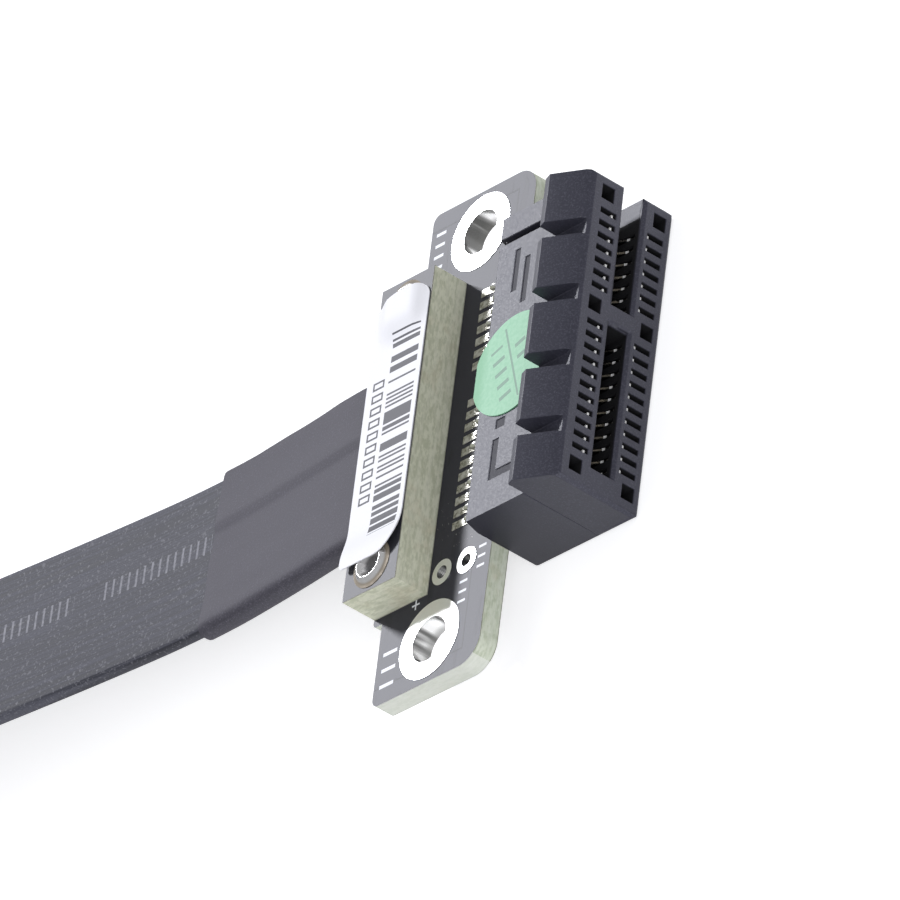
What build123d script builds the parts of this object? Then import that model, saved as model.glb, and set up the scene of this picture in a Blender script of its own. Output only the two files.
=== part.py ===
"""Flat-ribbon riser cable for a one-lane expansion slot.

A small circuit board carries an open-ended card socket on its edge. A flat ribbon cable is soldered
to the board under a thick cover plate and runs to a plug board with gold edge fingers.
Millimetres. +X points out of the socket's mouth, +Y toward the socket's open end, +Z up from the
floor that the socket's lower wall lies on. The origin is under the middle of the socket's end.
"""

import os
from math import radians, tan

from build123d import *

# Contact pattern, shared by the socket, its solder pads and the plug's fingers
pitch = 1.00            # between neighbouring contacts
long_count = 11         # contacts between the key and the closed end
short_count = 7         # contacts between the key and the open end
key_gap = 3.00          # between the two contacts beside the key

# Socket housing
socket_depth = 10.20    # mouth to rear face
body_half = 3.60        # slot's middle plane to either outer wall
lip_rise = 0.27         # mouth lip above the upper wall
lip_run = 0.85          # length of the lip's slope
mouth_bevel = 0.28      # outer edges of the mouth face
open_reach = 10.35      # key's middle to the open end
closed_reach = 14.45    # key's middle to the closed end
corner_round = 0.60     # lower outer corners
rear_chamfer_x = 0.45   # upper rear edge
rear_chamfer_z = 1.50
rear_round = 0.40       # lower rear edge
slot_width = 1.80
slot_depth = 8.30
slot_lead = 0.22        # lead-in slope round the slot's mouth
key_width = 1.70
tab_long = 12.15        # key's middle to the card edge on the long side
tab_short = 8.15        # key's middle to the card edge on the short side
tab_clearance = 0.25    # slot end beyond the card edge
window_inner = 1.44     # middle plane to the window's inner edge
window_outer = 2.87     # middle plane to the window's outer edge
window_width = 0.445
rail_depth = 0.70       # bar between window and slot, from the mouth
core_size = 1.15        # square cores at the ends and at the key
core_height = 1.10
core_middle = 2.38      # middle plane to the cores' middle
core_depth = 6.00
core_open = 9.00        # key's middle to the core at the open end
core_closed = 12.93     # key's middle to the core at the closed end

# Ramp blocks on the upper wall
block_rise = 1.72       # ridge above the upper wall
ramp_run = 3.00         # mouth to the ridge
block_run = 3.68        # mouth to the blocks' rear faces
crown_drop = 0.22       # ridge down to the blocks' rear edge
notch_width = 1.25
notch_pitch = 5.33
notch_first = 5.75      # key's middle to the notch nearest the open end
notch_count = 4
step_depth = 0.10       # end faces behind the blocks stand back by this
groove_width = 0.16     # groove where they step
groove_depth = 0.22
mark_depth = 0.08       # moulded marks sunk in the upper wall
marks = [(7.20, 7.90, -11.80, -8.50), (4.70, 7.90, -11.80, -11.10), (6.80, 7.80, -7.70, -6.90),
         (7.35, 7.95, 3.50, 7.00), (6.20, 6.80, 2.20, 6.00)]    # from and to behind the mouth, and from the key
slit_width = 0.62       # slit that frees the arm at the open end
arm_width = 1.85
slit_floor = 1.10       # slit's floor above the middle plane

# Spring contacts
strip = 0.15            # sheet thickness
strip_width = 0.28
contact_tip = (0.25, 1.66)      # behind the mouth, from the middle plane
contact_neck = (0.80, 1.60)
contact_step = (1.08, 1.16)
contact_land = (1.52, 1.10)
contact_crest = (2.95, 0.36)
contact_root = (6.60, 2.05)
contact_base = (8.20, 2.05)
crest_round = 1.20
bend_round = 0.45
step_round = 0.14
jog_length = 1.10       # from the base down to the tail
tail_length = 3.20      # beyond the housing's rear face

# Main board
board_width = 11.00     # along X
board_length = 40.20    # along Y
board_thick = 1.60
key_offset = 3.50       # slot key from the board's middle
board_round_socket = 2.00
board_round_cable = 0.70
nub_length = 0.95       # leftover of the panel joint on the cable edge
nub_width = 0.80
nub_round = 0.35
nub_below = 12.90       # board's middle to the nub's middle
copper = 0.05           # plating and pad thickness
pad_length = 4.50
pad_width = 0.62
hole_radius = 1.75      # mounting holes, inside the plating
hole_wall = 0.10
hole_ring = 3.05        # outer radius of the ring on each face
hole_inset = 3.50       # board's end to a mounting hole's middle
small_radius = 0.50
small_wall = 0.06
small_ring = 1.00
small_pitch = 2.54
small_inset = 8.70      # board's closed end to the two small holes
small_first = 2.48      # board's socket edge to the nearer small hole

# Cover plates, pins and the label
plate_width = 5.50
plate_length = 25.40
plate_thick = 3.00
plate_overhang = 0.85   # past the board's cable edge
pocket_width = 13.90
pocket_height = 2.02
pocket_depth = 4.60
pin_radius = 1.15
pin_ring = 1.85
pin_crown = 0.40        # solder crown above the plate
pin_crown_radius = 1.18
pin_dimple = 0.55       # below the crown, at the pin's middle
pin_dimple_radius = 0.86
pin_inset = 2.10        # plate's end to the pin's middle
label_overhang = 0.25   # past the plate's cable edge
label_setback = 0.10    # inside the plate's socket edge
label_top = 11.80       # board's middle to the label's upper end
label_bottom = 10.30
label_rounds = (0.40, 0.50, 2.20, 1.20)     # lower and upper on the cable side, lower and upper on the other
label_rise = 0.46       # over a pin's crown
label_flat = 1.40       # level part of the rise, from the pin's middle
label_foot = 3.10       # pin's middle to the foot of the rise
paper = 0.10
sticker_radius = 4.00
sticker_behind = 6.70   # mouth to the sticker's middle
sticker_below = 2.75    # key's middle to the sticker's middle
sticker_over = 0.27     # past the housing's rear face

# Ribbon cable and shrink sleeves
cable_width = 12.40
cable_thick = 1.10
cable_round = 0.35
sleeve_wall = 0.40
sleeve_reach = 41.40    # mouth to the end of the sleeve at the socket
plug_sleeve_length = 15.00
cable_end = 184.00      # mouth to the cable's end in the plug's pocket
board_lead = 6.95       # level run at the main board
cable_lead = 11.50      # level run at the plug
free_run = [(0.088, 1.22), (0.200, 2.62), (0.327, 3.30), (0.453, 2.70), (0.579, 1.05), (0.705, -0.10),
            (0.818, -0.80)]     # share of the way from sleeve to plug, and height
sleeve_slant = 4.5      # degrees, the sleeve's end at the socket

# Plug board
plug_width = 26.00
plug_length = 9.20      # cable edge to the shoulder
tab_length = 8.60
tab_chamfer = 1.00
tab_edge = 0.30         # bevel on both faces of the tab's leading edge
tab_notch = 1.90
tab_notch_depth = 7.40
finger_width = 0.70
finger_length = 4.30
finger_setback = 0.70   # tab's leading edge to the fingers

# Places that follow from the sizes
label_left = socket_depth + board_width + plate_overhang + label_overhang
mouth_x = label_left / 2
mid_z = body_half
rear_x = mouth_x - socket_depth
board_x = rear_x - board_width
board_top = mid_z + board_thick / 2
board_bottom = mid_z - board_thick / 2
key_y = key_offset
open_y = key_y + open_reach
closed_y = key_y - closed_reach
contact_ys = [key_y + key_gap / 2 + pitch * i for i in range(short_count)]
contact_ys += [key_y - key_gap / 2 - pitch * i for i in range(long_count)]
plate_x = board_x - plate_overhang
slot_end_y = key_y - tab_long - tab_clearance
cable_start = socket_depth + board_width + plate_overhang - pocket_depth   # behind the mouth
sleeve_half = cable_thick / 2 + sleeve_wall
cable_level = board_thick / 2 + sleeve_half     # above the slot's middle plane, on the main board
plug_base = copper - mid_z                      # underside of the plug board, fingers on the floor
plug_level = plug_base + board_thick + sleeve_half


def box(x0, x1, y0, y1, z0, z1):
    """Box between two corners, in any order."""
    size = (abs(x1 - x0), abs(y1 - y0), abs(z1 - z0))
    return Pos((x0 + x1) / 2, (y0 + y1) / 2, (z0 + z1) / 2) * Box(*size)


def along_y(points, y0, y1):
    """Prism of an XZ outline between two Y values."""
    outline = Polyline(*[(x, y0, z) for x, z in points], close=True)
    return extrude(make_face(outline), amount=abs(y1 - y0), dir=(0, 1 if y1 > y0 else -1, 0))


def save(shape, name):
    """Write one node."""
    export_step(shape, os.path.join("parts", name + ".step"))


def beyond(point, normal, size=6):
    """Block that holds everything on the far side of a plane, near a point."""
    return Plane(origin=point, z_dir=normal) * Pos(0, 0, size / 2) * Box(12 * size, 12 * size, size)


def housing():
    """Moulded socket body with slot, windows, cores and ramp blocks."""
    top, low = mid_z + body_half, mid_z - body_half
    lip = top + lip_rise
    body = along_y([(mouth_x, lip), (mouth_x - lip_run, top), (rear_x + rear_chamfer_x, top),
                    (rear_x, top - rear_chamfer_z), (rear_x, low + rear_round), (rear_x + rear_round, low),
                    (mouth_x, low)], closed_y, open_y)
    body = fillet(body.edges().filter_by(Axis.X).sort_by(Axis.Z)[:2], corner_round)

    # Ramp blocks, one crowned profile cut into blocks by the notches
    step_x = mouth_x - block_run
    ridge = top + block_rise
    ramp = along_y([(mouth_x, top), (mouth_x, lip), (mouth_x - ramp_run, ridge), (step_x, ridge - crown_drop),
                    (step_x, top)], closed_y, open_y)
    for i in range(notch_count):
        y = key_y + notch_first - i * notch_pitch
        ramp -= along_y([(mouth_x, ridge + 1), (mouth_x, lip), (mouth_x - lip_run, top), (step_x - 1, top),
                         (step_x - 1, ridge + 1)], y - notch_width / 2, y + notch_width / 2)
    body += ramp

    # Bevels round the mouth face
    for point, normal in (((mouth_x, closed_y + mouth_bevel, mid_z), (1, -1, 0)),
                          ((mouth_x, open_y - mouth_bevel, mid_z), (1, 1, 0)),
                          ((mouth_x, key_y, low + mouth_bevel), (1, 0, -1)),
                          ((mouth_x, key_y, lip - mouth_bevel), (1, 0, 1))):
        body -= beyond(point, normal)

    # Behind a groove, both end faces stand back
    for end, out in ((open_y, 1), (closed_y, -1)):
        body -= box(step_x, rear_x - 1, end - out * step_depth, end + out, low - 1, ridge + 1)
        body -= box(step_x, step_x - groove_width, end - out * groove_depth, end + out, low - 1, ridge + 1)

    # Sunk marks of the mould
    for x0, x1, y0, y1 in marks:
        body -= box(mouth_x - x0, mouth_x - x1, key_y + y0, key_y + y1, top - mark_depth, top + 1)

    # Card slot with its lead-in slopes and the key bar
    half = slot_width / 2
    floor_x = mouth_x - slot_depth
    slot = box(floor_x, mouth_x, slot_end_y, open_y + 1, mid_z - half, mid_z + half)
    wide = [(slot_end_y - slot_lead, mid_z - half - slot_lead), (open_y + 1, mid_z - half - slot_lead),
            (open_y + 1, mid_z + half + slot_lead), (slot_end_y - slot_lead, mid_z + half + slot_lead)]
    narrow = [(slot_end_y, mid_z - half), (open_y + 1, mid_z - half),
              (open_y + 1, mid_z + half), (slot_end_y, mid_z + half)]
    outer = make_face(Polyline(*[(mouth_x, y, z) for y, z in wide], close=True))
    inner = make_face(Polyline(*[(mouth_x - slot_lead, y, z) for y, z in narrow], close=True))
    slot += loft([outer, inner])
    bar = box(floor_x, mouth_x, key_y - key_width / 2, key_y + key_width / 2, mid_z - 2 * half, mid_z + 2 * half)
    bar = chamfer(bar.edges().filter_by(Axis.Z).sort_by(Axis.X)[-2:], 0.28)
    body -= slot - bar

    # Windows, contact cavities and tail passages
    cuts = []
    for y in contact_ys:
        y0, y1 = y - window_width / 2, y + window_width / 2
        for side in (1, -1):
            cuts.append(box(floor_x, mouth_x, y0, y1, mid_z + side * window_inner, mid_z + side * window_outer))
            cuts.append(box(floor_x, mouth_x - rail_depth, y0, y1, mid_z + side * half * 0.5,
                            mid_z + side * (window_inner + 0.05)))
            cuts.append(box(rear_x - 0.1, floor_x + 0.05, y0, y1, mid_z + side * (board_thick / 2),
                            mid_z + side * (contact_base[1] + strip)))
    # Square cores beside the slot
    for y in (key_y + core_open, key_y, key_y - core_closed):
        for side in (1, -1):
            cuts.append(box(mouth_x - core_depth, mouth_x, y - core_size / 2, y + core_size / 2,
                            mid_z + side * (core_middle - core_height / 2),
                            mid_z + side * (core_middle + core_height / 2)))
    # Slit beside the arm
    slit_y = open_y - arm_width
    cuts.append(box(rear_x - 1, step_x, slit_y - slit_width, slit_y, mid_z + slit_floor, top + 0.001))
    return body - cuts


def contact(y, side):
    """One formed spring contact: tip, step, crest, root, jog and solder tail."""
    tail_z = board_thick / 2 + copper + strip / 2
    points = [contact_tip, contact_neck, contact_step, contact_land, contact_crest, contact_root, contact_base,
              (contact_base[0] + jog_length, tail_z), (socket_depth + tail_length, tail_z)]
    rounds = [step_round, step_round, step_round, crest_round, crest_round, bend_round, bend_round / 2]
    path = FilletPolyline(*[(mouth_x - x, y, mid_z + side * z) for x, z in points], radius=rounds)
    section = Plane(path @ 0, x_dir=(0, 1, 0), z_dir=path % 0) * Rectangle(strip_width, strip)
    return sweep(section, path)


def row(build, side):
    """All 18 pieces of one side."""
    return Compound(children=[build(y, side) for y in contact_ys])


def pad(y, side):
    """Solder pad under one contact's tail."""
    face = mid_z + side * board_thick / 2
    return box(rear_x - 0.1, rear_x - pad_length, y - pad_width / 2, y + pad_width / 2, face, face + side * copper)


def main_board():
    """Board outline with its holes and the leftover of the panel joint."""
    board = box(board_x, rear_x, -board_length / 2, board_length / 2, board_bottom, board_top)
    corners = board.edges().filter_by(Axis.Z).sort_by(Axis.X)
    board = fillet(corners[2:], board_round_socket)
    corners = board.edges().filter_by(Axis.Z).sort_by(Axis.X)
    board = fillet(corners[:2], board_round_cable)
    nub = box(board_x - nub_length, board_x, -nub_below - nub_width / 2, -nub_below + nub_width / 2,
              board_bottom, board_top)
    board += fillet(nub.edges().filter_by(Axis.Z).sort_by(Axis.X)[:2], nub_round)
    for x, y, r in plated_holes():
        board -= Pos(x, y, mid_z) * Cylinder(r, board_thick + 1)
    for y in pin_ys():
        board -= Pos(plate_x + plate_width / 2, y, mid_z) * Cylinder(pin_radius, board_thick + 1)
    return board


def plated_holes():
    """Middle and drilled radius of every plated hole in the main board."""
    middle = board_x + board_width / 2
    big = hole_radius + hole_wall
    small = small_radius + small_wall
    x = rear_x - small_first
    across = board_length / 2 - hole_inset
    small_y = small_inset - board_length / 2
    return [(middle, across, big), (middle, -across, big), (x - small_pitch, small_y, small), (x, small_y, small)]


def pin_ys():
    """Y of the two cover pins."""
    return (plate_length / 2 - pin_inset, -plate_length / 2 + pin_inset)


def plating(hole, inner, wall, ring):
    """Tube through the board with a flat ring on each face."""
    x, y, _ = hole
    half = board_thick / 2
    outline = [(inner, -half - copper), (ring, -half - copper), (ring, -half), (inner + wall, -half),
               (inner + wall, half), (ring, half), (ring, half + copper), (inner, half + copper)]
    face = make_face(Polyline(*[(r, 0, z) for r, z in outline], close=True))
    return Pos(x, y, mid_z) * revolve(face, Axis.Z)


def cover_plate(left, base):
    """Thick plate over the cable joint, with a pocket open toward the cable."""
    plate = box(left, left + plate_width, -plate_length / 2, plate_length / 2, base, base + plate_thick)
    plate -= box(left, left + pocket_depth, -pocket_width / 2, pocket_width / 2, base, base + pocket_height)
    for y in pin_ys():
        plate -= Pos(left + plate_width / 2, y, base + plate_thick / 2) * Cylinder(pin_radius, plate_thick + 1)
    return plate


def cover_pin(left, base, y):
    """Soldered pin through plate and board, with a dimpled solder crown on the plate."""
    top = plate_thick
    crown = top + pin_crown
    shank = Polyline((0, 0, crown - pin_dimple), (0, 0, -board_thick), (pin_radius, 0, -board_thick),
                     (pin_radius, 0, top), (pin_ring, 0, top), (pin_ring, 0, top + copper))
    solder = Spline((pin_ring, 0, top + copper), (pin_crown_radius + 0.25, 0, top + pin_crown / 2),
                    (pin_crown_radius, 0, crown), (pin_dimple_radius, 0, crown - pin_dimple * 0.45),
                    (pin_dimple_radius / 2, 0, crown - pin_dimple * 0.88), (0, 0, crown - pin_dimple),
                    tangents=((-1, 0, 0.2), (-1, 0, 0)))
    face = make_face(shank.edges() + [solder])
    return Pos(left + plate_width / 2, y, base) * revolve(face, Axis.Z)


def label():
    """Printed sheet on the cover plate, lifted where the two pins push it up."""
    x0, x1 = plate_x - label_overhang, plate_x + plate_width - label_setback
    base = board_top + plate_thick
    outline = box(x0, x1, -label_bottom, label_top, base, base + label_rise + paper)
    corners = outline.edges().filter_by(Axis.Z).group_by(Axis.X)
    sides = list(corners[0].sort_by(Axis.Y)) + list(corners[-1].sort_by(Axis.Y))
    for i, size in enumerate(label_rounds):
        middle = sides[i].center()
        edge = outline.edges().filter_by(Axis.Z).sort_by_distance(middle)[0]
        outline = fillet(edge, size)
    sheet = outline & box(x0, x1, -label_bottom, label_top, base, base + paper)
    for y in pin_ys():
        middle = Pos(plate_x + plate_width / 2, y, base)
        crown = Polyline((label_flat, 0, label_rise), (0, 0, label_rise), (0, 0, label_rise + paper),
                         (label_flat, 0, label_rise + paper))
        edges = crown.edges() + [Line((label_foot, 0, 0), (label_foot, 0, paper))]
        for face in (0, paper):
            bend = ((label_flat + label_foot) / 2, 0, face + label_rise / 2)
            edges.append(TangentArc((label_flat, 0, face + label_rise), bend, tangent=(1, 0, 0)))
            edges.append(TangentArc((label_foot, 0, face), bend, tangent=(-1, 0, 0)))
        rise = middle * revolve(make_face(edges), Axis.Z)
        sheet = sheet - middle * Pos(0, 0, paper / 2) * Cylinder(label_foot, paper) + (rise & outline)
    return sheet


def sticker():
    """Round inspection sticker on the socket's upper wall, ending at the blocks."""
    top = mid_z + body_half
    middle = Pos(mouth_x - sticker_behind, key_y - sticker_below, top + paper / 2)
    disc = middle * Cylinder(sticker_radius, paper)
    keep = box(rear_x - sticker_over, mouth_x - block_run, closed_y, open_y, top, top + paper)
    return disc & keep


def route():
    """Middle line of the cable, from pocket to pocket, as distance behind the mouth and height."""
    return [(cable_start, cable_level), (cable_start + board_lead, cable_level), (31.60, 1.03), (sleeve_reach, 0.44)] + [
        (sleeve_reach + share * (cable_end - sleeve_reach), height) for share, height in free_run] + [
        (cable_end - cable_lead, plug_level), (cable_end, plug_level)]


def corner_rounds(points):
    """Arc at each inner point, as large as its two runs allow."""
    rounds = []
    for a, b, c in zip(points, points[1:], points[2:]):
        before, after = Vector(*b) - Vector(*a), Vector(*c) - Vector(*b)
        turn = before.get_angle(after)
        rounds.append(0.45 * min(before.length, after.length) / tan(radians(turn) / 2))
    return rounds


def strip_along(points, rounds, width, thick, corner):
    """Flat strip swept along part of the route."""
    path = FilletPolyline(*points, radius=rounds)
    section = Plane(path @ 0, x_dir=(0, 1, 0), z_dir=path % 0) * RectangleRounded(width, thick, corner)
    return sweep(section, path)


def cable_parts():
    """Cable and the two shrink sleeves that hug it."""
    points = [(mouth_x - x, 0, mid_z + z) for x, z in route()]
    rounds = corner_rounds(points)
    print("cable arc radii:", [round(r, 1) for r in rounds])
    cable = strip_along(points, rounds, cable_width, cable_thick, cable_round)
    length = FilletPolyline(*points, radius=rounds).length
    area = cable_width * cable_thick - (4 - 3.14159265) * cable_round ** 2
    print("cable length:", round(length, 2), "volume:", round(cable.volume, 2), "expected:", round(area * length, 2))

    # Both sleeves are one skin along the whole cable, kept only at its ends
    skin = strip_along(points, rounds, cable_width + 2 * sleeve_wall, 2 * sleeve_half, cable_round + sleeve_wall)
    reach = 2 * cable_width
    near = box(0, sleeve_reach, -reach, reach, 0, 2 * reach)
    near = Pos(mouth_x - sleeve_reach, -sleeve_half - cable_width / 2, 0) * Rot(0, 0, -sleeve_slant) * near
    far = box(mouth_x - cable_end - 1, mouth_x - cable_end + plug_sleeve_length, -reach, reach, 0, 2 * reach)
    return cable, (skin & near) - cable, (skin & far) - cable


def plug_board():
    """Board with a notched card edge."""
    x0, x1, y0, y1, shoulder, edge = plug_limits()
    z0 = mid_z + plug_base
    z1 = z0 + board_thick
    board = box(shoulder, x0, -plug_width / 2, plug_width / 2, z0, z1)
    board = fillet(board.edges().filter_by(Axis.Z), board_round_cable)
    tab = box(edge, shoulder + 1, y0, y1, z0, z1)
    tab = chamfer(tab.edges().filter_by(Axis.Z).sort_by(Axis.X)[:2], tab_chamfer)
    tab = chamfer(tab.edges().filter_by(Axis.Y).sort_by(Axis.X)[:2], tab_edge)
    board += tab
    slot = box(edge - 1, edge + tab_notch_depth, key_y - tab_notch / 2, key_y + tab_notch / 2, z0 - 1, z1 + 1)
    slot = fillet(slot.edges().filter_by(Axis.Z).sort_by(Axis.X)[2:], tab_notch / 2 - 0.01)
    board -= slot
    for y in pin_ys():
        board -= Pos(x1 + plate_width / 2, y, z0 + board_thick / 2) * Cylinder(pin_radius, board_thick + 1)
    return board


def plug_limits():
    """Cable edge, plate's left side, the tab's two sides, shoulder and leading edge of the plug board."""
    plate_left = mouth_x - cable_end - (plate_width - pocket_depth)
    cable_edge = plate_left + plate_width - plate_overhang
    shoulder = cable_edge - plug_length
    return cable_edge, plate_left, key_y - tab_long, key_y + tab_short, shoulder, shoulder - tab_length


def finger(y, side):
    """Gold finger on one face of the tab."""
    start = plug_limits()[5] + finger_setback
    z0 = mid_z + plug_base
    face = z0 + board_thick if side > 0 else z0
    return box(start, start + finger_length, y - finger_width / 2, y + finger_width / 2, face, face + side * copper)


def main():
    os.makedirs("parts", exist_ok=True)
    save(housing(), "socket_housing")
    save(row(contact, 1), "contacts_upper")
    save(row(contact, -1), "contacts_lower")
    save(row(pad, 1), "pads_upper")
    save(row(pad, -1), "pads_lower")
    save(main_board(), "main_board")
    holes = plated_holes()
    save(plating(holes[0], hole_radius, hole_wall, hole_ring), "hole_plating_open_end")
    save(plating(holes[1], hole_radius, hole_wall, hole_ring), "hole_plating_closed_end")
    save(plating(holes[2], small_radius, small_wall, small_ring), "small_plating_cable_side")
    save(plating(holes[3], small_radius, small_wall, small_ring), "small_plating_socket_side")
    save(cover_plate(plate_x, board_top), "cover_plate")
    for y, name in zip(pin_ys(), ("open_end", "closed_end")):
        save(cover_pin(plate_x, board_top, y), "cover_pin_" + name)
    save(label(), "label")
    save(sticker(), "round_sticker")
    cable, near, far = cable_parts()
    save(cable, "ribbon_cable")
    save(near, "shrink_sleeve_socket_end")
    save(far, "shrink_sleeve_plug_end")
    save(plug_board(), "plug_board")
    save(row(finger, 1), "plug_fingers_upper")
    save(row(finger, -1), "plug_fingers_lower")
    plug_left, plug_top = plug_limits()[1], mid_z + plug_base + board_thick
    mirror_plate = Plane(origin=(plug_left + plate_width / 2, 0, 0), z_dir=(1, 0, 0))
    save(mirror(cover_plate(plug_left, plug_top), about=mirror_plate), "plug_cover_plate")
    for y, name in zip(pin_ys(), ("open_side", "closed_side")):
        save(cover_pin(plug_left, plug_top, y), "plug_cover_pin_" + name)


if __name__ == "__main__":
    main()
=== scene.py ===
from math import cos, pi, radians, sin

import bmesh
import bpy
from mathutils import Matrix, Vector


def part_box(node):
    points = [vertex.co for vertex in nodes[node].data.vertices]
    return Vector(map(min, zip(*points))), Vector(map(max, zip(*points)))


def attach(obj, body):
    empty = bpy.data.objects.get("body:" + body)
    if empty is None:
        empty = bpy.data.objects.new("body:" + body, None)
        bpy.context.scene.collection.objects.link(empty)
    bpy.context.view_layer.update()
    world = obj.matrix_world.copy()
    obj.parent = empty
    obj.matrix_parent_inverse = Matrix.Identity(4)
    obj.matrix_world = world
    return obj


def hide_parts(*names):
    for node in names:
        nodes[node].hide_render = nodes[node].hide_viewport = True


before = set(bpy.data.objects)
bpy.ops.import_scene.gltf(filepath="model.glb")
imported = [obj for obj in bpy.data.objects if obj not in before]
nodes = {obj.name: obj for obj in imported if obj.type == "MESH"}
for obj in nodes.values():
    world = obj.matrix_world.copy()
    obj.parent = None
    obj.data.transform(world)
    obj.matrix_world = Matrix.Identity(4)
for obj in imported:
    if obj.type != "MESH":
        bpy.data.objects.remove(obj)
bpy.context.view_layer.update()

bpy.ops.object.select_all(action="DESELECT")
MM = 0.001

# Places in the row frame, in millimetres: the slot's mouth, middle plane and key, the housing's upper wall
MOUTH_X = 11.15
MIDDLE_Z = 3.6
KEY_Y = 3.5
WALL_TOP = 7.2

# Inside the housing: half the height of the slot and of the windows, and how far they reach across
SLOT_HALF = 1.2
WINDOW_HALF = 3.05
INSIDE_Y = (-10.2, 13.3)

# Contacts: each spring's knee and tip, where its tail begins, its solder's middle, and the places of the 18
# in a row. PAD_FACE is the height of the pads' faces over the middle plane.
KNEE_X = MOUTH_X - 1.48
TIP_X = MOUTH_X - 0.75
TAIL_X = 1.2
SOLDER_X = -1.72
PAD_FACE = 0.85
CONTACT_ROWS = [KEY_Y + 1.5 + i for i in range(7)] + [KEY_Y - 1.5 - i for i in range(11)]

# Moulded marks: their stretch along the housing, and how deep they are sunk
MARKS_X = (1.6, 7.3)
MARKS_DEPTH = (0.05, 0.10)

# Bottom and top of the socket's board and of the cover plate on it
BOARD_Z = (2.8, 4.4)
COVER_Z = (4.4, 7.4)

# Cover pins: where they stand at the socket end and at the plug end, and how far from the middle
PIN_X = -8.15
PLUG_PIN_X = -171.0
PIN_Y = 10.6

# Label: width of one step of its bars, pitch of its boxes, and how far it rises over each pin
BAR_STEP = 0.17
BOX_STEP = 1.04
UPPER_RISE = 0.52
LOWER_RISE = 0.43

# Cable and shrink sleeve: width and thickness
CABLE_WIDTH = 12.4
CABLE_THICK = 1.1
SLEEVE_WIDTH = 13.2
SLEEVE_THICK = 1.9

# Camera


def make_camera():
    """Long lens, looking down at the mouth from the closed end's side."""
    right = Vector((0.6576, 0.1073, -0.7457))
    down = Vector((-0.3343, -0.8454, -0.4165))
    forward = Vector((-0.6751, 0.5232, -0.5201))
    data = bpy.data.cameras.new("camera")
    data.sensor_width = 36
    data.lens = 545.63
    data.clip_start, data.clip_end = 0.05, 20
    camera = bpy.data.objects.new("camera", data)
    bpy.context.collection.objects.link(camera)
    turn = Matrix((right, -down, -forward)).transposed().to_4x4()
    camera.matrix_world = Matrix.Translation((0.62905, -0.4925, 0.4928)) @ turn
    bpy.context.scene.camera = camera


make_camera()

# Shader nodes written as expressions


class Socket:
    """One output of a shader node, with the usual signs as Math nodes."""

    def __init__(self, tree, out):
        self.tree, self.out = tree, out

    def math(self, operation, *others):
        """A Math node that takes this output first."""
        return self.tree.node("ShaderNodeMath", {"operation": operation}, self, *others)

    def __add__(self, other):
        return self.math("ADD", other)

    def __sub__(self, other):
        return self.math("SUBTRACT", other)

    def __rsub__(self, other):
        return self.tree.node("ShaderNodeMath", {"operation": "SUBTRACT"}, other, self)

    def __mul__(self, other):
        return self.math("MULTIPLY", other)

    def __truediv__(self, other):
        return self.math("DIVIDE", other)

    def __abs__(self):
        return self.math("ABSOLUTE")

    __radd__, __rmul__ = __add__, __mul__

    def above(self, level):
        return self.math("GREATER_THAN", level)

    def below(self, level):
        return self.math("LESS_THAN", level)

    def ramp(self, low, high, to_low=0.0, to_high=1.0):
        """Eased climb between two levels, held at its ends."""
        settings = {"interpolation_type": "SMOOTHSTEP"}
        return self.tree.node("ShaderNodeMapRange", settings, self, low, high, to_low, to_high)


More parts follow.
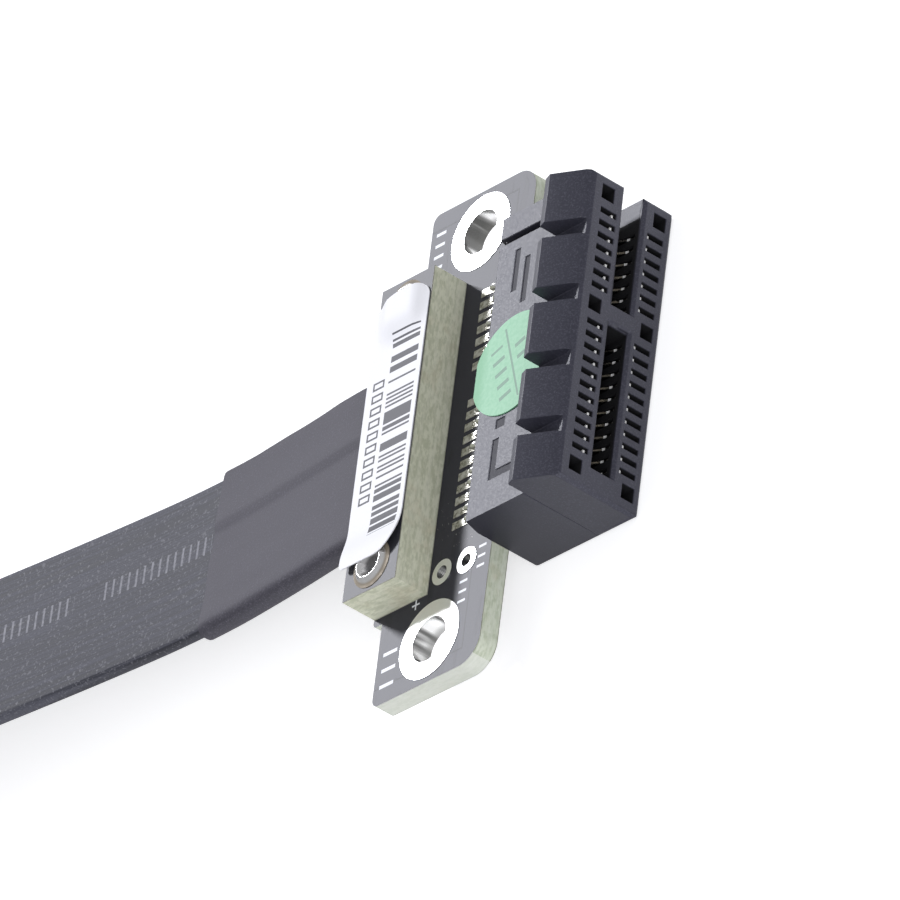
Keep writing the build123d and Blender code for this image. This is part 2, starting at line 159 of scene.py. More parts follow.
class Finish:
    """A material and its Principled shader."""

    def __init__(self, name):
        self.material = bpy.data.materials.new(name)
        self.material.use_nodes = True
        self.links = self.material.node_tree.links
        self.nodes = self.material.node_tree.nodes
        self.shader = self.nodes["Principled BSDF"]

    def node(self, kind, settings=None, *values, out=0, **named):
        """Any node: its settings first, then its inputs' values or links."""
        made = self.nodes.new(kind)
        for key, value in (settings or {}).items():
            setattr(made, key, value)
        for key, value in [*enumerate(values), *((k.replace("_", " "), v) for k, v in named.items())]:
            self.put(made.inputs[key], value)
        return Socket(self, made.outputs[out])

    def put(self, socket, value):
        """Link an output to an input, or set the input's value."""
        if isinstance(value, Socket):
            self.links.new(value.out, socket)
        elif isinstance(value, tuple) and len(value) == 3 and socket.type == "RGBA":
            socket.default_value = (*value, 1)
        else:
            socket.default_value = value

    def set(self, **values):
        """Inputs of the Principled shader."""
        for key, value in values.items():
            self.put(self.shader.inputs[key.replace("_", " ")], value)

    def place(self):
        """Object coordinates in millimetres, as three sockets."""
        coordinates = self.node("ShaderNodeTexCoord", out="Object")
        scaled = self.node("ShaderNodeVectorMath", {"operation": "SCALE"}, coordinates, Scale=1000.0)
        parts = self.nodes.new("ShaderNodeSeparateXYZ")
        self.links.new(scaled.out, parts.inputs[0])
        return scaled, *(Socket(self, parts.outputs[i]) for i in range(3))

    def normal(self):
        """The surface's direction, as three sockets."""
        parts = self.nodes.new("ShaderNodeSeparateXYZ")
        geometry = self.nodes.new("ShaderNodeNewGeometry")
        self.links.new(geometry.outputs["Normal"], parts.inputs[0])
        return [Socket(self, parts.outputs[i]) for i in range(3)]

    def noise(self, at, scale, detail=2.0, roughness=0.5):
        return self.node("ShaderNodeTexNoise", {}, Vector=at, Scale=scale, Detail=detail, Roughness=roughness)

    def stretched(self, at, x, y, z):
        """A place scaled on each axis, for long or flat grains."""
        return self.node("ShaderNodeVectorMath", {"operation": "MULTIPLY"}, at, (x, y, z))

    def mix(self, share, a, b):
        """Colour a where share is 0, b where it is 1."""
        made = self.nodes.new("ShaderNodeMix")
        made.data_type = "RGBA"
        self.put(made.inputs[0], share)
        self.put(made.inputs[6], a)
        self.put(made.inputs[7], b)
        return Socket(self, made.outputs[2])

    def bump(self, height, depth, strength=1.0):
        """Relief of a depth in millimetres."""
        return self.node("ShaderNodeBump", {}, Strength=strength, Distance=depth * MM, Height=height,
                         out="Normal")

    def on(self, *objects):
        """Make this the only material of some objects."""
        for o in objects:
            o.data.materials.clear()
            o.data.materials.append(self.material)
            for face in o.data.polygons:
                face.material_index = 0


# Materials


def moulded_plastic():
    """Dark blue-grey glass-filled plastic with a fine grain. Painted shade blackens its cavities and darkens
    the sunk marks' floors and the rear of its end face; painted light brightens the marks' walls.
    """
    m = Finish("housing_plastic")
    at, x, y, z = m.place()
    _, ny, nz = m.normal()
    grain = m.noise(at, 7.0, 4.0, 0.7)
    cloud = m.noise(m.stretched(at, 0.7, 0.25, 0.5), 1.0, 2.0)
    colour = m.mix(cloud, (0.029, 0.029, 0.043), (0.043, 0.043, 0.061))
    colour = m.mix(grain.ramp(0.46, 0.70), colour, (0.072, 0.072, 0.095))
    # Painted shade: the sunk marks' floors are painted darker, besides being made rougher below.
    sunk = z.above(WALL_TOP - MARKS_DEPTH[1]) * z.below(WALL_TOP - MARKS_DEPTH[0]) * nz.above(0.9)
    colour = m.mix(sunk * 0.6, colour, (0.012, 0.012, 0.018))
    # Painted light: the sunk marks' walls, which face away from the lamp, are painted pale.
    painted_light_mark_walls = z.above(WALL_TOP - 0.09) * z.below(WALL_TOP - 0.002) * nz.below(0.5)
    painted_light_mark_walls = painted_light_mark_walls * mark(x, y, *MARKS_X, -10.8, 13.7)
    colour = m.mix(painted_light_mark_walls, colour, (0.36, 0.36, 0.40))
    # Painted shade: the end face that looks to -Y darkens towards its rear.
    painted_shade_end_face = x.ramp(1.0, 8.5, 0.65, 0.22) * ny.below(-0.9)
    colour = m.mix(painted_shade_end_face, colour, (0.012, 0.012, 0.017))
    # Painted shade: the slot and the windows' cavities behind the mouth are painted nearly black, and made
    # rougher.
    height = abs(z - MIDDLE_Z)
    slot = x.ramp(MOUTH_X - 0.45, MOUTH_X - 0.22, 1.0, 0.0) * height.below(SLOT_HALF) * y.below(12.3)
    cavity = x.ramp(MOUTH_X - 0.14, MOUTH_X - 0.06, 1.0, 0.0) * y.below(INSIDE_Y[1])
    cavity = cavity * height.above(SLOT_HALF) * height.below(WINDOW_HALF)
    inside = (slot + cavity) * y.above(INSIDE_Y[0])
    colour = m.mix(inside, colour, (0.003, 0.003, 0.004))
    rough = grain.ramp(0.3, 0.7, 0.47, 0.56)
    m.set(Base_Color=colour, Roughness=rough + inside * 0.3 + sunk * 0.15, Normal=m.bump(grain, 0.007, 0.5),
          Specular_IOR_Level=0.42)
    return m


def contact_metal():
    """Plated spring strip with a painted highlight at its knee and tip, painted shade between them and along
    its sides, and tinned at the tail.
    """
    m = Finish("contact_metal")
    at, x, y, _ = m.place()
    grain = m.noise(at, 3.0)
    across = abs(y - y.math("ROUND"))
    # Painted shade along both sides of each strip.
    dull = m.mix(across.ramp(0.02, 0.11), (0.62, 0.58, 0.50), (0.05, 0.05, 0.05))
    # Painted highlight: a white, not metal dot at each knee, and white tips.
    bright = abs(x - KNEE_X).below(0.12) * across.below(0.10)
    bright = bright.math("MAXIMUM", x.above(TIP_X))
    tail = x.below(TAIL_X)
    # Painted shade on the run between knee and tip.
    painted_shade_rise = x.above(KNEE_X + 0.10) * x.below(TIP_X)
    dull = m.mix(painted_shade_rise * 0.8, dull, (0.04, 0.04, 0.04))
    colour = m.mix(bright, dull, (0.95, 0.94, 0.90))
    colour = m.mix(tail, colour, (0.82, 0.82, 0.80))
    m.set(Base_Color=colour, Metallic=1 - bright, Roughness=grain.ramp(0.3, 0.7, 0.26, 0.34) + bright * 0.12)
    return m


def finger_gold():
    """Hard gold of the plug's edge fingers."""
    m = Finish("finger_gold")
    at = m.place()[0]
    rub = m.noise(m.stretched(at, 0.4, 6.0, 1.0), 1.0, 2.0)
    m.set(Base_Color=m.mix(rub, (0.78, 0.60, 0.28), (0.90, 0.72, 0.38)), Metallic=1.0,
          Roughness=rub.ramp(0.3, 0.7, 0.20, 0.32), Normal=m.bump(rub, 0.01, 0.4))
    return m


def tin():
    """Bright hot-tinned copper, with painted reflections in bright and dark streaks down the barrels of the
    holes and painted shade towards their bottoms.
    """
    m = Finish("bright_tin")
    at, _, _, z = m.place()
    face = abs(m.normal()[2]).above(0.5)
    wave = m.noise(at, 0.7, 2.0)
    # Painted reflections: bright and dark streaks down the barrel walls.
    painted_reflection_streak = m.noise(m.stretched(at, 1.1, 1.1, 0.12), 1.0, 2.0)
    wall = m.mix(painted_reflection_streak.ramp(0.40, 0.62), (0.16, 0.16, 0.155), (0.93, 0.93, 0.92))
    # Painted shade: the barrels darken towards their bottoms.
    wall = m.mix(z.ramp(2.9, 3.6, 0.6, 0.0), wall, (0.20, 0.20, 0.19))
    flat = m.mix(wave, (0.84, 0.84, 0.82), (0.95, 0.95, 0.94))
    m.set(Base_Color=m.mix(face, wall, flat), Metallic=0.9, Roughness=face * 0.12 + 0.22,
          Normal=m.bump(wave * face, 0.02, 0.4))
    return m


def pin_solder():
    """Soldered pin: bright crown, a dimple darkened with painted shade, and a brown ring of flux round it."""
    m = Finish("pin_solder")
    at, x, y, _ = m.place()
    dy = abs(y) - PIN_Y
    dx = abs(x - (PIN_X + PLUG_PIN_X) / 2) - (PIN_X - PLUG_PIN_X) / 2
    radius = (dx * dx + dy * dy).math("SQRT")
    wave = m.noise(at, 1.4, 2.0)
    colour = m.mix(wave, (0.78, 0.77, 0.73), (0.96, 0.96, 0.95))
    colour = m.mix(radius.ramp(1.40, 1.62), colour, (0.36, 0.31, 0.24))
    # Painted shade: the dimple in the pin's middle is painted dark.
    colour = m.mix(radius.ramp(0.55, 0.80, 0.75, 0.0), colour, (0.10, 0.10, 0.10))
    m.set(Base_Color=colour, Metallic=radius.ramp(1.40, 1.70, 1.0, 0.3),
          Roughness=wave.ramp(0.3, 0.7, 0.16, 0.28), Normal=m.bump(wave, 0.05, 0.6))
    return m


def pad_tin():
    """Levelled tin on the solder pads, dull beside the joints."""
    m = Finish("pad_tin")
    at = m.place()[0]
    wave = m.noise(at, 2.6, 3.0)
    m.set(Base_Color=m.mix(wave.ramp(0.35, 0.65), (0.30, 0.29, 0.24), (0.62, 0.61, 0.55)), Metallic=0.6,
          Roughness=wave.ramp(0.3, 0.7, 0.26, 0.42), Normal=m.bump(wave, 0.05, 0.6))
    return m


def solder():
    """Shiny reflowed solder."""
    m = Finish("reflowed_solder")
    at = m.place()[0]
    wave = m.noise(at, 2.2, 2.0)
    m.set(Base_Color=m.mix(wave, (0.82, 0.82, 0.80), (0.97, 0.97, 0.96)), Metallic=0.95,
          Roughness=wave.ramp(0.3, 0.7, 0.14, 0.26), Normal=m.bump(wave, 0.04, 0.6))
    return m


def laminate_edge(m, at, z, low, high, dark, pale, stripe):
    """Colour and relief of a cut edge: glass layers along it and a thin dark line under the mask."""
    weave = m.noise(m.stretched(at, 1.6, 1.6, 4.0), 1.0, 3.0, 0.6)
    layers = m.noise(m.stretched(at, 0.3, 0.3, 4.5), 1.0, 2.0)
    colour = m.mix(weave.ramp(0.38, 0.62), dark, pale)
    colour = m.mix(layers.ramp(0.42, 0.66, 0.0, 0.4), colour, stripe)
    warm = m.noise(at, 0.45, 3.0, 0.6)
    colour = m.mix(warm.ramp(0.50, 0.72, 0.0, 0.35), colour, (0.56, 0.49, 0.33))
    rim = z.above(high - 0.07) + z.below(low + 0.07)
    return m.mix(rim * 0.55, colour, (0.10, 0.10, 0.08)), weave


def mark(x, y, x0, x1, y0, y1):
    """1 inside a rectangle across two directions."""
    return x.above(x0) * x.below(x1) * y.above(y0) * y.below(y1)


def strokes(along, across, start, end, step, share, low, high):
    """1 inside a row of equal bars, which cover a share of each step between start and end."""
    bars = ((along - start) / step).math("FRACT").below(share)
    return bars * mark(along, across, start, end, low, high)


def board_laminate():
    """Grey solder mask with traces and plain white strokes, greenish glass laminate on the cut edges, with
    painted light on the edges that face -Y.
    """
    m = Finish("board_laminate")
    at, x, y, z = m.place()
    _, ny, nz = m.normal()
    face = abs(nz).above(0.7)
    edge, weave = laminate_edge(m, at, z, *BOARD_Z,
                                dark=(0.50, 0.55, 0.40), pale=(0.64, 0.68, 0.54), stripe=(0.74, 0.77, 0.66))
    # Painted light: the cut edges that face -Y are painted paler.
    edge = m.mix(ny.below(-0.7) * 0.6, edge, (0.82, 0.83, 0.76))
    traces = m.noise(m.stretched(at, 1.6, 0.25, 1.0), 1.0, 1.0).ramp(0.62, 0.66, 0.0, 0.35)
    out = abs(y)
    pour = mark(x, out, -0.92, -0.80, 12.4, 18.6) + mark(x, out, -10.0, -0.80, 18.60, 18.72)
    grain = m.noise(at, 9.0, 2.0)
    mask = m.mix(grain, (0.017, 0.017, 0.026), (0.026, 0.026, 0.038))
    mask = m.mix(traces, mask, (0.010, 0.010, 0.014))
    mask = m.mix(pour, mask, (0.008, 0.008, 0.010))
    dusty = mark(x, y, -5.3, -3.7, -8.8, -5.6) + mark(x, y, -3.2, -0.6, -10.2, -8.7)
    mask = m.mix(m.noise(at, 7.0, 1.0).above(0.76) * dusty, mask, (0.55, 0.55, 0.52))
    printed = mark(x, y, -6.95, -6.15, -13.17, -13.03) + mark(x, y, -6.62, -6.48, -13.5, -12.7)
    for row in ((15.3, 19.1, 0.95, 0.27, -9.5, -8.5), (-18.8, -15.2, 1.3, 0.22, -9.45, -8.0),
                (-14.75, -12.6, 0.80, 0.25, -2.0, -1.2), (-12.5, -10.3, 0.80, 0.25, -0.35, 0.42)):
        printed = printed + strokes(y, x, *row)
    mask = m.mix(printed, mask, (0.75, 0.77, 0.80))
    m.set(Base_Color=m.mix(face, edge, mask), Roughness=0.62 - face * 0.12,
          Normal=m.bump(weave * (1 - face) + (traces + pour) * face, 0.02, 0.5), Specular_IOR_Level=0.42)
    return m


def cover_laminate():
    """Thick laminate plate: dark mask on top, olive layered laminate at its sides."""
    m = Finish("cover_laminate")
    at, _, _, z = m.place()
    face = m.normal()[2].above(0.7)
    edge, weave = laminate_edge(m, at, z, *COVER_Z,
                                dark=(0.54, 0.56, 0.40), pale=(0.72, 0.73, 0.56), stripe=(0.77, 0.77, 0.62))
    grain = m.noise(at, 9.0, 2.0)
    mask = m.mix(grain, (0.020, 0.020, 0.026), (0.030, 0.030, 0.038))
    m.set(Base_Color=m.mix(face, edge, mask), Roughness=0.62 - face * 0.12, Normal=m.bump(weave, 0.02, 0.4),
          Specular_IOR_Level=0.42)
    return m


def cable_film():
    """Grey laminated film with fine lines along the conductors, specks and two rows of pale strokes."""
    m = Finish("cable_film")
    at, x, y, _ = m.place()
    lines = m.noise(m.stretched(at, 0.012, 3.4, 0.3), 1.0, 4.0, 0.75)
    speck = m.noise(at, 4.5, 3.0)
    colour = m.mix(lines.ramp(0.40, 0.60), (0.016, 0.017, 0.026), (0.086, 0.088, 0.110))
    grain = m.noise(at, 9.0, 2.0, 0.7)
    colour = m.mix(grain.ramp(0.35, 0.65, 0.35, 0.0), colour, (0.012, 0.012, 0.018))
    colour = m.mix(speck.ramp(0.56, 0.68, 0.0, 0.7), colour, (0.16, 0.16, 0.18))
    rows = strokes(x, y, -41.4, -30.3, 0.79, 0.26, 0.2, 1.7)
    rows = rows + strokes(x, y, -54.0, -44.5, 0.79, 0.26, 0.2, 1.7)
    colour = m.mix(rows * speck.ramp(0.35, 0.55, 0.55, 0.9), colour, (0.24, 0.24, 0.27))
    m.set(Base_Color=colour, Roughness=lines.ramp(0.3, 0.7, 0.64, 0.76), Normal=m.bump(lines, 0.03, 0.6))
    return m


def shrink_tube():
    """Soft satin polyolefin with faint creases along it."""
    m = Finish("shrink_tube")
    at = m.place()[0]
    crease = m.noise(m.stretched(at, 0.08, 0.6, 0.3), 1.0, 2.0)
    grain = m.noise(at, 8.0, 3.0, 0.7)
    colour = m.mix(crease, (0.045, 0.042, 0.056), (0.062, 0.058, 0.074))
    colour = m.mix(grain.ramp(0.34, 0.50, 0.4, 0.0), colour, (0.022, 0.020, 0.028))
    colour = m.mix(grain.ramp(0.50, 0.68, 0.0, 0.9), colour, (0.112, 0.106, 0.130))
    m.set(Base_Color=colour, Roughness=grain.ramp(0.3, 0.7, 0.66, 0.76),
          Normal=m.bump(crease * 0.8 + grain * 0.2, 0.04, 0.5))
    return m


def label_sheet():
    """White paper with a band of plain bars of uneven width and a row of plain boxes."""
    m = Finish("label_paper")
    at, x, y, _ = m.place()
    fibre = m.noise(at, 5.0, 3.0, 0.6)
    step = (y / BAR_STEP).math("FLOOR")
    bars = m.node("ShaderNodeTexWhiteNoise", {"noise_dimensions": "1D"}, W=step).above(0.50)
    band = mark(x, y, -8.82, -5.95, -8.2, 8.3)
    boxes = strokes(y, x, -5.2, 5.15, BOX_STEP, 0.66, -10.45, -9.25)
    holes = strokes(y, x, -5.03, 5.2, BOX_STEP, 0.34, -10.28, -9.42)
    colour = m.mix(fibre, (0.80, 0.80, 0.82), (0.84, 0.84, 0.86))
    ink = bars * band + boxes - holes
    m.set(Base_Color=m.mix(ink, colour, (0.05, 0.05, 0.06)), Roughness=0.6, Normal=m.bump(fibre, 0.006, 0.4))
    return m


def sticker_sheet():
    """Green film with painted shade where it bends down, a plain line and a row of strokes on each side of
    it.
    """
    m = Finish("sticker_film")
    at, x, y, _ = m.place()
    fibre = m.noise(at, 3.0, 3.0, 0.6)
    colour = m.mix(fibre.ramp(0.35, 0.65), (0.18, 0.47, 0.26), (0.23, 0.52, 0.31))
    across = x * 0.943 + y * 0.334 - 4.47
    line = abs(across).below(0.09) * y.above(-2.3) * y.below(3.9)
    beside = y * 0.943 - x * 0.334
    rows = strokes(beside, across, -3.2, 1.5, 1.12, 0.30, -1.75, -0.55)
    rows = rows + strokes(beside, across, -0.9, 1.3, 1.12, 0.30, 0.55, 1.6)
    colour = m.mix((line + rows) * 0.7, colour, (0.05, 0.13, 0.09))
    # Painted shade: the film darkens where it bends down over the edge.
    colour = m.mix(x.ramp(0.95, 2.1, 0.75, 0.0), colour, (0.08, 0.36, 0.15))
    m.set(Base_Color=colour, Roughness=0.55, Normal=m.bump(fibre, 0.01, 0.4))
    return m


contact_metal().on(nodes["contacts_upper"], nodes["contacts_lower"])
finger_gold().on(nodes["plug_fingers_upper"], nodes["plug_fingers_lower"])
pad_tin().on(nodes["pads_upper"], nodes["pads_lower"])
tin().on(*(nodes[n] for n in nodes if "plating" in n))
pin_solder().on(*(nodes[n] for n in nodes if "cover_pin" in n))
board_laminate().on(nodes["main_board"], nodes["plug_board"])
cover_laminate().on(nodes["cover_plate"], nodes["plug_cover_plate"])
sticker_sheet().on(nodes["round_sticker"])

# Housing with softened edges


def smooth(value, low, high):
    """0 below low, 1 above high, eased between."""
    share = min(1.0, max(0.0, (value - low) / (high - low)))
    return share * share * (3 - 2 * share)


def pick(*objects):
    """Select only these, the first one active."""
    bpy.ops.object.select_all(action="DESELECT")
    for o in objects:
        o.select_set(True)
    bpy.context.view_layer.objects.active = objects[0]


def merged_copy(node, name):
    """Copy of a CAD solid with its loose triangles joined into flat faces."""
    made = bpy.data.objects.new(name, nodes[node].data.copy())
    bpy.context.collection.objects.link(made)
    pick(made)
    bpy.ops.mesh.customdata_custom_splitnormals_clear()
    bpy.ops.object.mode_set(mode="EDIT")
    bpy.ops.mesh.select_all(action="SELECT")
    bpy.ops.mesh.remove_doubles(threshold=1e-6)
    bpy.ops.mesh.dissolve_limited(angle_limit=radians(0.5))
    bpy.ops.object.mode_set(mode="OBJECT")
    return made


def soften(piece, chosen, width):
    """Bevel the sharp edges that a test on their two ends picks."""
    pick(piece)
    bpy.ops.object.mode_set(mode="EDIT")
    bpy.ops.mesh.select_mode(type="EDGE")
    bpy.ops.mesh.select_all(action="DESELECT")
    bpy.ops.mesh.edges_select_sharp(sharpness=radians(25))
    mesh = bmesh.from_edit_mesh(piece.data)
    for edge in mesh.edges:
        if edge.select and not chosen(*(v.co / MM for v in edge.verts)):
            edge.select_set(False)
    mesh.select_flush_mode()
    bmesh.update_edit_mesh(piece.data)
    bpy.ops.mesh.bevel(offset=width * MM, segments=2, affect="EDGES", clamp_overlap=False)
    bpy.ops.object.mode_set(mode="OBJECT")


def steady_shading(piece):
    """Smooth the bevels and keep the flat faces flat."""
    pick(piece)
    bpy.ops.object.shade_smooth_by_angle(angle=radians(50))
    steady = piece.modifiers.new("steady_normals", "WEIGHTED_NORMAL")
    steady.weight = 100
    steady.keep_sharp = True
    bpy.ops.object.modifier_apply(modifier="steady_normals")


def outside(a, b):
    """True for an edge of the mouth, the blocks or the outside, not deep in a cavity or at a sunk mark."""
    middle = (a + b) / 2
    deep = middle.x < MOUTH_X - 0.35 and abs(middle.z - MIDDLE_Z) < 3.3 and -10.5 < middle.y < 13.4
    sunk = abs(middle.z - WALL_TOP + 0.04) < 0.05 and MARKS_X[0] < middle.x < MARKS_X[1]
    return (a - b).length > 0.30 and not deep and not sunk


housing = merged_copy("socket_housing", "housing_shell")
soften(housing, outside, width=0.06)
steady_shading(housing)
moulded_plastic().on(housing)
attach(housing, "root")
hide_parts("socket_housing")

# Label, a sheet of paper that rises gently over both pins


def paper_label():
    """Rounded sheet cut into narrow strips, raised over the pins and given its thickness."""
    low, high = (tuple(c / MM for c in corner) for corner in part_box("label"))
    middle = [(low[i] + high[i]) / 2 for i in range(3)]
    bpy.ops.mesh.primitive_plane_add(size=MM)
    made = bpy.context.object
    made.name = "label_sheet"
    bpy.ops.object.mode_set(mode="EDIT")
    bpy.ops.transform.resize(value=(high[0] - low[0], high[1] - low[1], 1))
    bpy.ops.transform.translate(value=(middle[0] * MM, middle[1] * MM, (low[2] + 0.01) * MM))
    bpy.ops.mesh.select_mode(type="VERT")
    for x, y, corner in ((low[0], low[1], 0.4), (low[0], high[1], 0.5), (high[0], low[1], 2.2),
                         (high[0], high[1], 1.2)):
        bpy.ops.mesh.select_all(action="DESELECT")
        mesh = bmesh.from_edit_mesh(made.data)
        min(mesh.verts, key=lambda v: (v.co.xy / MM - Vector((x, y))).length).select_set(True)
        mesh.select_flush_mode()
        bmesh.update_edit_mesh(made.data)
        bpy.ops.mesh.bevel(offset=corner * MM, segments=8, affect="VERTICES")
    for axis, cuts in ((1, 48), (0, 14)):
        across = Vector((0, 0, 0))
        across[axis] = 1
        for i in range(1, cuts):
            bpy.ops.mesh.select_all(action="SELECT")
            at = low[axis] + (high[axis] - low[axis]) * i / cuts
            bpy.ops.mesh.bisect(plane_co=across * at * MM, plane_no=across, threshold=1e-7)
    bpy.ops.object.mode_set(mode="OBJECT")
    for vertex in made.data.vertices:
        x, y = vertex.co.x / MM, vertex.co.y / MM
        vertex.co.y -= (0.35 + 0.4 * smooth(PIN_X - x, 0, 2.5)) * smooth(y, high[1] - 3, high[1]) * MM
        over_upper_pin = smooth(y, 7.2, 9.7) * (1 - smooth(abs(x - PIN_X), 1.2, 2.75))
        vertex.co.z += (UPPER_RISE * over_upper_pin + LOWER_RISE * smooth(-y, 7.0, 9.8)) * MM
    sheet = made.modifiers.new("sheet", "SOLIDIFY")
    sheet.thickness = 0.08 * MM
    sheet.offset = 1
    bpy.ops.object.modifier_apply(modifier="sheet")
    bpy.ops.object.shade_smooth_by_angle(angle=radians(40))
    label_sheet().on(made)
    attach(made, "root")
    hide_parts("label")


paper_label()

# Solder joints of the contact tails


def solder_row(name, face, side):
    """One row of low domes of solder, each its own size, over the tails' ends."""
    domes = []
    for i, y in enumerate(CONTACT_ROWS):
        swell = 1 + 0.22 * sin(i * 2.3 + side)
        shift = 0.16 * sin(i * 3.7 + 1.1 * side)
        bpy.ops.mesh.primitive_uv_sphere_add(segments=14, ring_count=9, radius=MM)
        dome = bpy.context.object
        bpy.ops.object.mode_set(mode="EDIT")
        bpy.ops.transform.resize(value=(0.62 * swell, 0.25, 0.33 * swell))
        bpy.ops.transform.translate(value=((SOLDER_X + shift) * MM, y * MM, face * MM))
        bpy.ops.mesh.bisect(plane_co=(0, 0, face * MM), plane_no=(0, 0, side), use_fill=True,
                            clear_inner=True, threshold=1e-7)
        bpy.ops.object.mode_set(mode="OBJECT")
        domes.append(dome)
    pick(*domes)
    bpy.ops.object.join()
    made = bpy.context.object
    made.name = name
    bpy.ops.object.transform_apply(location=True, rotation=True, scale=True)
    bpy.ops.object.shade_smooth_by_angle(angle=radians(50))
    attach(made, "root")
    return made


solder().on(solder_row("solder_joints_upper", MIDDLE_Z + PAD_FACE, 1),
            solder_row("solder_joints_lower", MIDDLE_Z - PAD_FACE, -1))

# Cable and shrink sleeves


def strip_curve(name, points, width, thick, corner, across=1, smoothed=True):
    """Flat strip along a smooth line: a rounded rectangle carried along the route's spline."""
    profile = bpy.data.curves.new(name + "_section", "CURVE")
    profile.dimensions = "2D"
    spline = profile.splines.new("POLY")
    flat = width / 2 - corner
    ring = []
    for cx, cy, start in ((1, 1, 0), (-1, 1, 90), (-1, -1, 180), (1, -1, 270)):
        for step in range(5):
            a = radians(start + step * 22.5)
            ring.append((cx * flat + corner * cos(a), cy * (thick / 2 - corner) + corner * sin(a)))
        if cx == cy:
            ring += [(cx * flat * (1 - 2 * i / across), cy * thick / 2) for i in range(1, across)]
    spline.points.add(len(ring) - 1)
    for point, (u, v) in zip(spline.points, ring):
        point.co = (u, v, 0, 1)
    spline.use_cyclic_u = True
    section = bpy.data.objects.new(name + "_section", profile)
    bpy.context.collection.objects.link(section)

    def line(bevelled):
        data = bpy.data.curves.new(name, "CURVE")
        data.dimensions = "3D"
        data.twist_mode = "Z_UP"
        path = data.splines.new("NURBS" if smoothed else "POLY")
        path.points.add(len(points) - 1)
        for point, place in zip(path.points, points):
            point.co = (*place, 1)
        if smoothed:
            path.order_u = 3
            path.use_endpoint_u = True
        data.resolution_u = 12
        if bevelled:
            data.bevel_mode = "OBJECT"
            data.bevel_object = section
            data.use_fill_caps = True
        made = bpy.data.objects.new(name, data)
        bpy.context.collection.objects.link(made)
        return made

    bare = line(False)
    depsgraph = bpy.context.evaluated_depsgraph_get()
    middle = [tuple(v.co) for v in bpy.data.meshes.new_from_object(bare.evaluated_get(depsgraph)).vertices]
    bpy.data.objects.remove(bare)
    strip = line(True)
    pick(strip)
    bpy.ops.object.convert(target="MESH")
    strip = bpy.context.view_layer.objects.active
    bpy.data.objects.remove(section)
    bpy.ops.object.mode_set(mode="EDIT")
    bpy.ops.mesh.select_all(action="SELECT")
    bpy.ops.mesh.remove_doubles(threshold=1e-6)
    bpy.ops.mesh.normals_make_consistent(inside=False)
    bpy.ops.object.mode_set(mode="OBJECT")
    bpy.ops.object.shade_smooth_by_angle(angle=radians(40))
    return strip, middle


ROUTE = [(17.45, 1.75), (24.40, 1.75), (31.60, 1.03), (41.40, 0.44), (53.95, 1.22), (69.92, 2.62),
         (88.03, 3.30), (106.00, 2.70), (123.97, 1.05), (141.93, -0.10), (158.05, -0.80), (172.50, -1.00),
         (184.00, -1.00)]
route_points = [((MOUTH_X - x) * MM, 0.0, (MIDDLE_Z + z) * MM) for x, z in ROUTE]

cable, cable_middle = strip_curve("cable", route_points, CABLE_WIDTH * MM, CABLE_THICK * MM,
                                  corner=0.35 * MM)
cable_film().on(cable)
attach(cable, "root")
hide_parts("ribbon_cable")


def shrink_sleeve(name, node, crease_y):
    """Tube shrunk round the cable: open oblique ends, a fold along it, soft lips."""
    solid = [v.co for v in nodes[node].data.vertices]
    low, high = min(v.x for v in solid), max(v.x for v in solid)
    sides = [[v.x for v in solid if v.y * side > 5.5 * MM] for side in (1, -1)]
    path = [p for p in cable_middle if low - 3 * MM < p[0] < high + 3 * MM]
    made, _ = strip_curve(name, path, SLEEVE_WIDTH * MM, SLEEVE_THICK * MM, corner=0.75 * MM,
                          across=26, smoothed=False)
    pick(made)
    for pick_end, clear in ((min, "inner"), (max, "outer")):
        upper, lower = pick_end(sides[0]), pick_end(sides[1])
        slant = (upper - lower) / (CABLE_WIDTH * MM)
        bpy.ops.object.mode_set(mode="EDIT")
        bpy.ops.mesh.select_all(action="SELECT")
        bpy.ops.mesh.bisect(plane_co=((upper + lower) / 2, 0, 0), plane_no=(1, -slant, 0), threshold=1e-7,
                            clear_inner=clear == "inner", clear_outer=clear == "outer")
        bpy.ops.object.mode_set(mode="OBJECT")
    for vertex in made.data.vertices:
        x, y, z = (c / MM for c in vertex.co)
        lip = max(smooth(x, high / MM - 0.7, high / MM), 1 - smooth(x, low / MM, low / MM + 0.9))
        middle = min(cable_middle, key=lambda p: abs(p[0] - vertex.co.x))[2] / MM
        ripple = 0.02 * sin(x * 0.9 + y * 0.5) + 0.005 * sin(x * 2.3 - y * 1.7)
        fold = 0.20 * smooth(y, crease_y - 0.25, crease_y + 0.25)
        fold -= 0.12 * smooth(y, crease_y + 0.4, crease_y + 2.4)
        if z > middle + 0.3:
            vertex.co.z += ((1 - lip) * (fold + ripple) - 0.13 * lip) * MM
        vertex.co.x += 0.10 * sin(y * 1.3) * lip * MM
    wall = made.modifiers.new("wall", "SOLIDIFY")
    wall.thickness = 0.36 * MM
    wall.offset = -1
    bpy.ops.object.modifier_apply(modifier="wall")
    bpy.ops.object.shade_smooth_by_angle(angle=radians(45))
    tube.on(made)
    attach(made, "root")
    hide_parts(node)
    return made


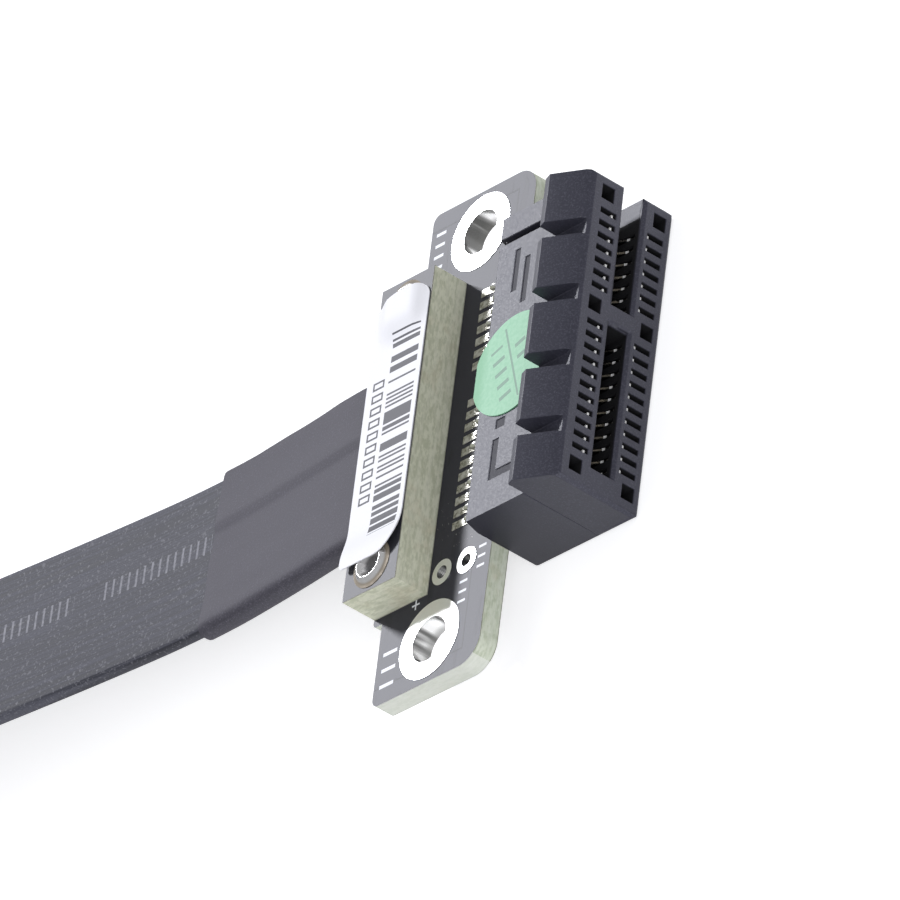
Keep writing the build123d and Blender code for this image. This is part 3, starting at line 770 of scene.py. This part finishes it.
tube = shrink_tube()
sleeves = [shrink_sleeve("sleeve_socket_end", "shrink_sleeve_socket_end", crease_y=1.5),
           shrink_sleeve("sleeve_plug_end", "shrink_sleeve_plug_end", crease_y=-2.0)]

# Floor, light and background


def make_stage():
    """Floor with a soft shadow and background, both white to the camera."""
    bpy.ops.mesh.primitive_plane_add(size=6, location=(0, 0, 0))
    floor = bpy.context.object
    floor.name = "floor"
    m = Finish("floor_white")
    path = m.node("ShaderNodeLightPath")
    seen = Socket(m, path.out.node.outputs["Is Camera Ray"])
    shiny = Socket(m, path.out.node.outputs["Is Glossy Ray"])
    glow = seen.math("MAXIMUM", shiny)
    m.set(Base_Color=(0.8, 0.8, 0.8), Roughness=0.9)
    light = m.node("ShaderNodeEmission", {}, (1.0, 1.0, 1.0), glow * 0.62)
    both = m.node("ShaderNodeAddShader", {}, Socket(m, m.shader.outputs[0]), light)
    m.links.new(both.out, m.nodes["Material Output"].inputs[0])
    m.on(floor)

    world = bpy.data.worlds.new("world")
    bpy.context.scene.world = world
    world.use_nodes = True
    tree = world.node_tree
    background = tree.nodes["Background"]
    rays = tree.nodes.new("ShaderNodeLightPath")
    strength = tree.nodes.new("ShaderNodeMath")
    strength.operation = "MAXIMUM"
    tree.links.new(rays.outputs["Is Camera Ray"], strength.inputs[0])
    strength.inputs[1].default_value = 0.45
    background.inputs[0].default_value = (0.95, 0.96, 1, 1)
    tree.links.new(strength.outputs[0], background.inputs[1])


def lamp(name, towards, distance, size, power):
    """Square lamp that shines at the frame's origin from one direction."""
    data = bpy.data.lights.new(name, "AREA")
    data.size = size
    data.energy = power
    data.color = (0.93, 0.94, 1.0)
    made = bpy.data.objects.new(name, data)
    bpy.context.collection.objects.link(made)
    direction = Vector(towards).normalized()
    made.location = direction * distance
    made.rotation_mode = "QUATERNION"
    made.rotation_quaternion = direction.to_track_quat("Z", "Y")


make_stage()
lamp("key", (-0.647, 0.481, 0.594), distance=1.2, size=0.16, power=11)
lamp("fill", (0.72, -0.7, 0.5), distance=1.3, size=0.8, power=8)

bpy.context.scene.view_settings.view_transform = "Standard"
